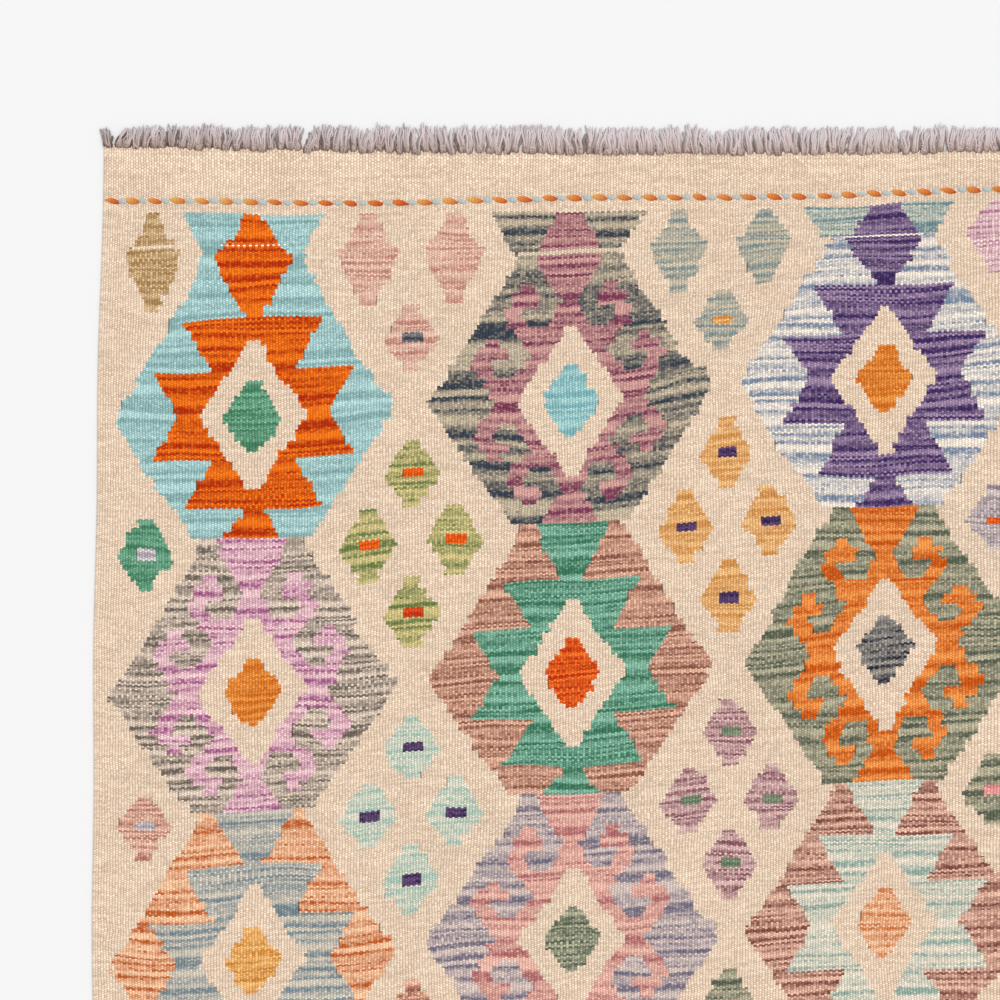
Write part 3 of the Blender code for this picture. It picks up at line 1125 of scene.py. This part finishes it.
def wool_material():
    """Weft-faced wool: beads over ribs, streaked yarns, with painted shade in the valleys between beads
    and in the slits.
    """
    nodes = Nodes("kilim wool")
    beads = weave_beads(nodes)
    height = bead_height(beads)
    colour = interlocked(nodes, beads, streaked_yarn(nodes, beads))
    slits = nodes.parts(nodes.attribute("slit")[0])
    slit = nodes.range(nodes.blend(beads["is_lower"], *slits[:2]), *SLIT_RANGE)
    place = nodes.add("ShaderNodeTexCoord")["Object"]
    patches = nodes.noise("3D", PATCH_SCALE, detail=3.0, Vector=place)
    fibres = nodes.noise("3D", FIBRE_SCALE, Vector=place)
    # Painted shade: darker where the bead height falls into the valleys, and in the slits
    shade = (height * BEAD_PAINTED_SHADE[1] + BEAD_PAINTED_SHADE[0]) * (slit * -SLIT_PAINTED_SHADE + 1)
    tone = patches * PATCH_TONE + 1 - PATCH_TONE / 2 + (fibres * FIBRE_TONE - FIBRE_TONE / 2)
    bead_tone = nodes.speckle(beads["warp"], beads["pick"], TONE_SEED) * BEAD_TONE[1] + BEAD_TONE[0]
    # Painted shade: in the valleys the colour is mixed towards its own square, darker and more saturated
    valley_shade = nodes.math("MULTIPLY", 1 - height, PAINTED_VALLEY_DEEPENING, clamp=True)
    colour = nodes.mix(valley_shade, colour, nodes.product(colour, colour))
    colour = nodes.scale(colour, shade * tone * bead_tone)
    nodes.finish(colour, *CLOTH_FINISH, height + fibres * FIBRE_RELIEF - slit, BEAD_RELIEF)
    return nodes.material


def yarn_material(name, twist_pitch, ply_groove_shade):
    """Plied yarn in the colour that each strand brings, with its twist and painted shade in the grooves
    between its plies.
    """
    nodes = Nodes(name)
    around, along = nodes.coordinates("strand")
    shade = nodes.attribute("shade")[0]
    turn = along / twist_pitch + around
    ply = nodes.math("SINE", turn * (4 * math.pi)) * 0.5 + 0.5
    fibres = nodes.noise("3D", YARN_FIBRE_SCALE, Vector=nodes.add("ShaderNodeTexCoord")["Object"])
    # Painted shade in the grooves between the plies, times the random tone of the fibres
    groove_shade_and_fibres = ply * ply_groove_shade + (YARN_TONE - ply_groove_shade / 2)
    groove_shade_and_fibres = groove_shade_and_fibres * (fibres * YARN_FIBRE_TONE[1] + YARN_FIBRE_TONE[0])
    nodes.finish(nodes.scale(shade, groove_shade_and_fibres), *YARN_FINISH, ply + fibres, PLY_RELIEF)
    return nodes.material


# ---------------------------------------------------------------- strands

class Strands:
    """Closed tubes of yarn collected into one mesh."""

    def __init__(self):
        self.points = []
        self.faces = []
        self.uvs = []
        self.shades = []

    def tube(self, path, radii, shades, sides, flatten=1.0):
        """A tube along path, closed at both ends; one radius and shade a point."""
        start = len(self.points)
        length = 0.0
        lengths = []
        for index, centre in enumerate(path):
            before = path[max(index - 1, 0)]
            after = path[min(index + 1, len(path) - 1)]
            forward = (after - before).normalized()
            side = forward.cross(Vector((0, 0, 1))).normalized()
            up = side.cross(forward)
            if index:
                length += (centre - before).length
            lengths.append(length)
            for corner in range(sides):
                angle = 2 * math.pi * corner / sides
                out = side * math.cos(angle) + up * math.sin(angle) * flatten
                self.points.append(centre + out * radii[index])
        for ring in range(len(path) - 1):
            for corner in range(sides):
                following = (corner + 1) % sides
                first = start + ring * sides
                second = first + sides
                self.faces.append((first + corner, first + following, second + following, second + corner))
                left = corner / sides
                right = (corner + 1) / sides
                low, high = lengths[ring], lengths[ring + 1]
                self.uvs += [(left, low), (right, low), (right, high), (left, high)]
                self.shades += [shades[ring], shades[ring], shades[ring + 1], shades[ring + 1]]
        last = start + (len(path) - 1) * sides
        self.faces.append(tuple(start + corner for corner in reversed(range(sides))))
        self.faces.append(tuple(last + corner for corner in range(sides)))
        self.uvs += [(0.5, 0.0)] * sides + [(0.5, length)] * sides
        self.shades += [shades[0]] * sides + [shades[-1]] * sides

    def piece(self, name, material):
        mesh = bpy.data.meshes.new(name)
        mesh.from_pydata(self.points, [], self.faces)
        mesh.shade_smooth()
        add_uv(mesh, "strand", np.array(self.uvs))
        colours = np.ones((len(self.shades), 4))
        colours[:, :3] = np.array(self.shades)
        add_attribute(mesh, "shade", "FLOAT_COLOR", "CORNER", colours)
        return make_piece(mesh, material)


# ---------------------------------------------------------------- twined lines

def stitch(strands, middle, size, shades, into):
    """One fat stitch, pointed at both ends, where it dips into the cloth."""
    length, width, slant = size
    first, second = shades
    path = []
    radii = []
    blend = []
    for index, fullness in enumerate(STITCH_PROFILE):
        share = index / (len(STITCH_PROFILE) - 1) - 0.5
        dip = into * (1 - fullness) * width * STITCH_DIP
        path.append(middle + Vector((share * length, -share * slant, dip)))
        radii.append(width / 2 * fullness)
        # From the first end to the second; on orange stitches partly painted light and shade along the
        # slant
        blend.append(first * (0.5 - share) + second * (0.5 + share))
    strands.tube(path, radii, blend, STITCH_SIDES, STITCH_FLATNESS)


def stitch_shades(pairs, share, chance):
    """Shades of a stitch's two ends, between the first pair and the second."""
    first, second = pairs
    share = min(1.0, max(0.0, share + chance.uniform(-STITCH_TONE_STRAY, STITCH_TONE_STRAY)))
    return [linear(one) * (1 - share) + linear(other) * share for one, other in zip(first, second)]


def make_twining(end, offset, material):
    """A twined line across one end, on both faces of the cloth."""
    chance = random.Random(TWINE_SEED[end])
    strands = Strands()
    at_edge = SIGN[end] * LINE_FROM_CENTRE[end]
    left = -float(long_edge(at_edge, "left")) + TWINE_FIRST - TWINE_CROWDING[0]
    right = float(long_edge(at_edge, "right")) - TWINE_FIRST
    count = 2 * int((right - left) / TWINE_PITCH) + 1
    drift = wander(chance, count, GREY_DRIFT) * 0.5 + 0.5
    height, length_of_wave, start = TWINE_WAVE
    stray_x, stray_y = STITCH_STRAY
    for level, into in STITCH_FACES:
        for index in range(count):
            crowding = TWINE_CROWDING[0] * math.exp(-index / 2 / TWINE_CROWDING[1])
            x = left + index * TWINE_PITCH / 2 + crowding + chance.uniform(-stray_x, stray_x)
            wave = -height * math.sin(2 * math.pi * (x - start) / length_of_wave)
            y = SIGN[end] * float(twined_line(x, end)) + wave + chance.uniform(-stray_y, stray_y)
            orange = index % 2 == 0
            redness = float(np.interp(index / 2, *zip(*TWINE_REDNESS)))
            pairs, share = (TWINE_ORANGES, redness) if orange else (TWINE_GREYS, drift[index])
            shades = stitch_shades(pairs, share, chance)
            size = [usual * chance.uniform(1 - stray, 1 + stray)
                    for usual, stray in zip(STITCH_SIZES[index % 2], STITCH_SIZE_STRAYS)]
            stitch(strands, Vector((x, y, level)) + offset, size, shades, into)
    return strands.piece("twining_" + end, material)


# ---------------------------------------------------------------- fringe

def strand_path(root, sign, start, drift, reach, heights, wave):
    """A wavy path from the cloth's edge over the knot and out over the floor."""
    curl, turns, phase = wave
    places, widths, rises = zip(*BUNCH_FORM)
    last = len(STRAND_PROFILE) - 1
    path = []
    for step in range(last + 1):
        share = step / last
        distance = -ROOT_OVERLAP + (reach + ROOT_OVERLAP) * share
        aside = start * float(np.interp(share, places, widths)) + drift * distance
        aside += curl * math.sqrt(share) * math.sin(2 * math.pi * turns * share + phase)
        height = heights[0] + (heights[1] - heights[0]) * share ** 0.7
        height += float(np.interp(share, places, rises))
        path.append(root + Vector((aside, sign * distance, height)))
    return path


def fringe_shade(tone, away):
    """Shade of the warp wool: tone from dark to light, away from the knot (0) to the tip (1)."""
    dark, root, tip = linear(FRINGE_DARK), linear(FRINGE_ROOT), linear(FRINGE_TIP)
    lightest = root + (tip - root) * away
    return dark + (lightest - dark) * min(1.0, max(0.0, tone))


def strand_shades(root_tone, tip_tone, paling):
    """Brown where a strand leaves the knot, paler towards its tip; the darker knot is partly painted
    shade.
    """
    last = len(STRAND_PROFILE) - 1
    shades = []
    for step in range(last + 1):
        away = min(1.0, PALES_BY * step / last)
        paler = paling * (ROOT_PALING + (1 - ROOT_PALING) * away)
        shades.append(fringe_shade(root_tone + (tip_tone - root_tone) * away + paler, away))
    return shades


def tuft(strands, chance, root, sign, lean, length, paling):
    """A bunch of wavy warp ends from one knot, the darker ones short and beneath, where they also stand in
    as painted shade in the gaps.
    """
    wave = (chance.uniform(*WAVE_CURLS), chance.uniform(*WAVE_TURNS), chance.uniform(0, 2 * math.pi))
    half_width = TUFT_HALF_WIDTH * chance.uniform(*TUFT_WIDTHS)
    paling += TONE_STRAY * chance.uniform(-1, 1)
    for layer, width in zip(STRAND_LAYERS, LAYER_SPREADS):
        count, radii, reaches, root_tones, tip_tones, root_height, tip_lift = layer
        for number in range(count):
            spread = ((number + 0.5) / count - 0.5) * width
            radius = chance.uniform(*radii)
            own_curl = wave[0] * chance.uniform(*OWN_CURLS)
            own_wave = (own_curl, wave[1], wave[2] + chance.uniform(-OWN_PHASE, OWN_PHASE))
            drift = lean + spread * STRAND_FAN + chance.uniform(-STRAND_DRIFT, STRAND_DRIFT)
            heights = (root_height, radius + tip_lift)
            own_root = root + Vector((0, STRAND_STRAY * chance.uniform(-1, 1), 0))
            path = strand_path(own_root, sign, 2 * spread * half_width, drift,
                               length * chance.uniform(*reaches), heights, own_wave)
            shades = strand_shades(chance.uniform(*root_tones), chance.uniform(*tip_tones), paling)
            strands.tube(path, [radius * fullness for fullness in STRAND_PROFILE], shades, STRAND_SIDES)


def root_wraps(strands, chance, root, sign, paling):
    """Warp ends that pass slantwise across the knot."""
    for _ in range(chance.choice(WRAP_COUNTS)):
        away, slope, bow, width, radius, tone = [chance.uniform(*spread) for spread in WRAP_SPREADS]
        half = TUFT_HALF_WIDTH * width
        shade = fringe_shade(tone + paling * ROOT_PALING, WRAP_AWAY)
        path = []
        radii = []
        for step in range(-3, 4):
            share = step / 3
            rounded = 1 - share * share
            distance = away + slope * share + bow * rounded
            path.append(root + Vector((half * share, sign * distance, WRAP_LEVEL + WRAP_RISE * rounded)))
            radii.append(radius * (0.5 + 0.5 * rounded))
        strands.tube(path, radii, [shade] * len(path), STRAND_SIDES)


def parted(x, end):
    """How far the bunch at x leans away from the partings, and how long it is there."""
    lean = 0.0
    length = 1.0
    for place, strength, shortening in PARTINGS[end]:
        nearness = math.exp(-abs(x - place) / PARTING_REACH)
        lean += math.copysign(strength, x - place) * nearness
        length -= shortening * nearness
    return lean, length


def make_fringe(end, offset, material):
    chance = random.Random(FRINGE_SEED[end])
    strands = Strands()
    sign = SIGN[end]
    leans = sum(amount * wander(chance, TUFTS, reach) for amount, reach in TUFT_LEANS)
    strays = wander(chance, TUFTS, TIP_STRAY_TUFTS)
    left = -float(long_edge(sign * HALF_LENGTH, "left"))
    right = float(long_edge(sign * HALF_LENGTH, "right"))
    for index in range(TUFTS):
        stray = SPACING_STRAY * chance.uniform(-1, 1) if 0 < index < TUFTS - 1 else 0
        x = left + (index + 0.5) / TUFTS * (right - left) + stray
        from_middle = float(end_line(x, end))
        y = sign * (from_middle + ROOT_STRAY * chance.uniform(-1, 1))
        root = Vector((x, y, 0)) + offset
        parting_lean, share = parted(x, end)
        lean = leans[index] + parting_lean + (0 if index else EDGE_LEAN)
        length = (TIP_LINE[0] + TIP_LINE[1] * x + TIP_STRAY * strays[index] - from_middle) * share
        paling = float(np.interp(x, *zip(*FRINGE_PALING)))
        tuft(strands, chance, root, sign, lean, length, paling)
        root_wraps(strands, chance, root, sign, paling)
    return strands.piece("warp_fringe_" + end, material)


# ---------------------------------------------------------------- surroundings

def make_floor():
    material = bpy.data.materials.new("studio floor")
    material.use_nodes = True
    shader = material.node_tree.nodes["Principled BSDF"]
    shader.inputs["Base Color"].default_value = (FLOOR_GREY, FLOOR_GREY, FLOOR_GREY, 1.0)
    shader.inputs["Roughness"].default_value = 1.0
    shader.inputs["Specular IOR Level"].default_value = 0.0
    bpy.ops.mesh.primitive_plane_add(size=FLOOR_SIZE, location=(0, 0, 0))
    floor = bpy.context.object
    floor.name = "studio_floor"
    floor.data.materials.append(material)
    return floor


def make_lights():
    world = bpy.data.worlds.new("studio")
    world.use_nodes = True
    background = world.node_tree.nodes["Background"]
    background.inputs["Color"].default_value = (1.0, 1.0, 1.0, 1.0)
    background.inputs["Strength"].default_value = SKY_STRENGTH
    bpy.context.scene.world = world
    sun = bpy.data.lights.new("soft key", "SUN")
    sun.energy = SUN_ENERGY
    sun.angle = math.radians(SUN_SPREAD)
    lamp = bpy.data.objects.new("soft key", sun)
    lamp.rotation_euler = (math.radians(SUN_TILT[0]), math.radians(SUN_TILT[1]), 0)
    bpy.context.scene.collection.objects.link(lamp)


def make_camera(offset):
    camera = bpy.data.objects.new("camera", bpy.data.cameras.new("camera"))
    camera.data.lens = LENS
    camera.data.sensor_width = SENSOR
    middle = PHOTO_WIDTH / 2
    x = (middle - RUG_CENTRE_PX[0]) * PIXEL
    y = (RUG_CENTRE_PX[1] - middle) * PIXEL
    distance = PHOTO_WIDTH * PIXEL * LENS / SENSOR
    camera.location = Vector((x, y, TOP + distance)) + offset
    camera.data.clip_end = CAMERA_REACH
    bpy.context.scene.collection.objects.link(camera)
    bpy.context.scene.camera = camera


def main():
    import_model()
    offset = cad_offset()
    bpy.context.scene.view_settings.view_transform = "Standard"
    make_camera(offset)
    make_lights()
    floor = make_floor()
    cloth = make_cloth(make_chart(), offset, wool_material())
    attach(cloth, "root")
    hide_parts("kilim_cloth")
    twine = yarn_material("twined yarn", 0.0030, 0.50)
    fringe_yarn = yarn_material("fringe yarn", 0.0040, 0.20)
    on_cloth = []
    for end in ("head", "foot"):
        twining = make_twining(end, offset, twine)
        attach(twining, "root")
        fringe = make_fringe(end, offset, fringe_yarn)
        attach(fringe, "root")
        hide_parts("fringe_" + end)
        on_cloth += [twining, fringe]


main()
